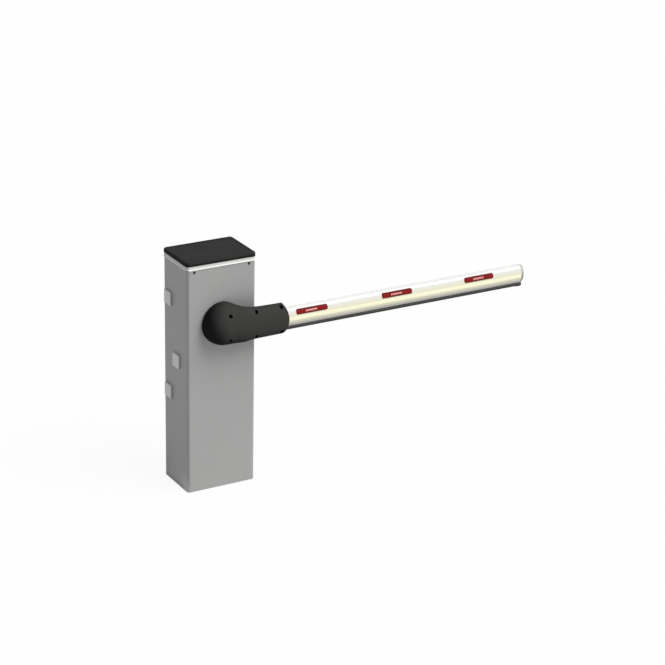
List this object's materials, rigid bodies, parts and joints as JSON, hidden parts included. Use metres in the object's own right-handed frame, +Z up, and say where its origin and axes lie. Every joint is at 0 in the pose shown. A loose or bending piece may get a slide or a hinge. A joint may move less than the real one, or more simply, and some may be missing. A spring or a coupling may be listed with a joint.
{
  "type": "boom barrier",
  "caption": "Boom barrier: sheet-steel housing with lid and light band, and a horizontal oval boom with rubber edge on a moulded pivoting arm cover.",
  "frame": {"origin": "middle of the foot of the housing, on the ground", "axes": "+X along the boom, away from the housing; -Y out of the face that carries the boom; +Z up"},
  "size_m": [1.652, 0.335, 1.05],
  "materials": {
    "cabinet_paint": "satin grey powder coat",
    "galvanised_steel": "zinc-plated",
    "lock_metal": "nickel-plated",
    "band_plastic": "translucent white",
    "lid_plastic": "fine-grained black",
    "black_screw": "blackened steel",
    "gasket_rubber": "matt",
    "plate_plastic": "light grey",
    "machined_steel": "machined",
    "cast_aluminium": "cast",
    "cover_plastic": "fine-grained black",
    "boom_paint": "gloss white paint on an aluminium section",
    "cap_plastic": "grey",
    "bumper_rubber": "matt",
    "reflector_red": "red, reflective"
  },
  "bodies": {
    "housing": {"bearing_flange": "machined_steel", "cabinet_shell": "cabinet_paint", "door_frame": "galvanised_steel", "door_lock": "lock_metal", "flange_screws": "machined_steel", "foot_plate": "galvanised_steel", "lid": "lid_plastic", "lid_screw_front_left": "black_screw", "lid_screw_front_right": "black_screw", "lid_screw_rear_left": "black_screw", "lid_screw_rear_right": "black_screw", "light_band": "band_plastic", "rear_door": "cabinet_paint", "side_plate_cap_lower": "plate_plastic", "side_plate_cap_middle": "plate_plastic", "side_plate_cap_upper": "plate_plastic", "side_plate_frame_lower": "gasket_rubber", "side_plate_frame_middle": "gasket_rubber", "side_plate_frame_upper": "gasket_rubber"},
    "boom": {"arm_bracket": "cast_aluminium", "boom_strap_inner": "cast_aluminium", "boom_strap_outer": "cast_aluminium", "boom_tube": "boom_paint", "bumper_end": "bumper_rubber", "bumper_rubber": "bumper_rubber", "cover_back": "cover_plastic", "cover_front": "cover_plastic", "cover_screw_middle_lower": "black_screw", "cover_screw_middle_upper": "black_screw", "cover_screw_outer_lower": "black_screw", "cover_screw_outer_upper": "black_screw", "cover_screw_pivot_lower": "black_screw", "cover_screw_pivot_upper": "black_screw", "end_cap": "cap_plastic", "pivot_shaft": "machined_steel", "reflector_front_1": "reflector_red", "reflector_front_2": "reflector_red", "reflector_front_3": "reflector_red", "reflector_rear_1": "reflector_red", "reflector_rear_2": "reflector_red", "reflector_rear_3": "reflector_red", "shaft_bolt": "machined_steel"}
  },
  "joints": [
    {"name": "boom_lift", "type": "hinge", "parent": "housing", "child": "boom", "pos_m": [0, -0.1805, 0.762], "axis": [0, -1, 0], "range_deg": [0, 90]}
  ]
}
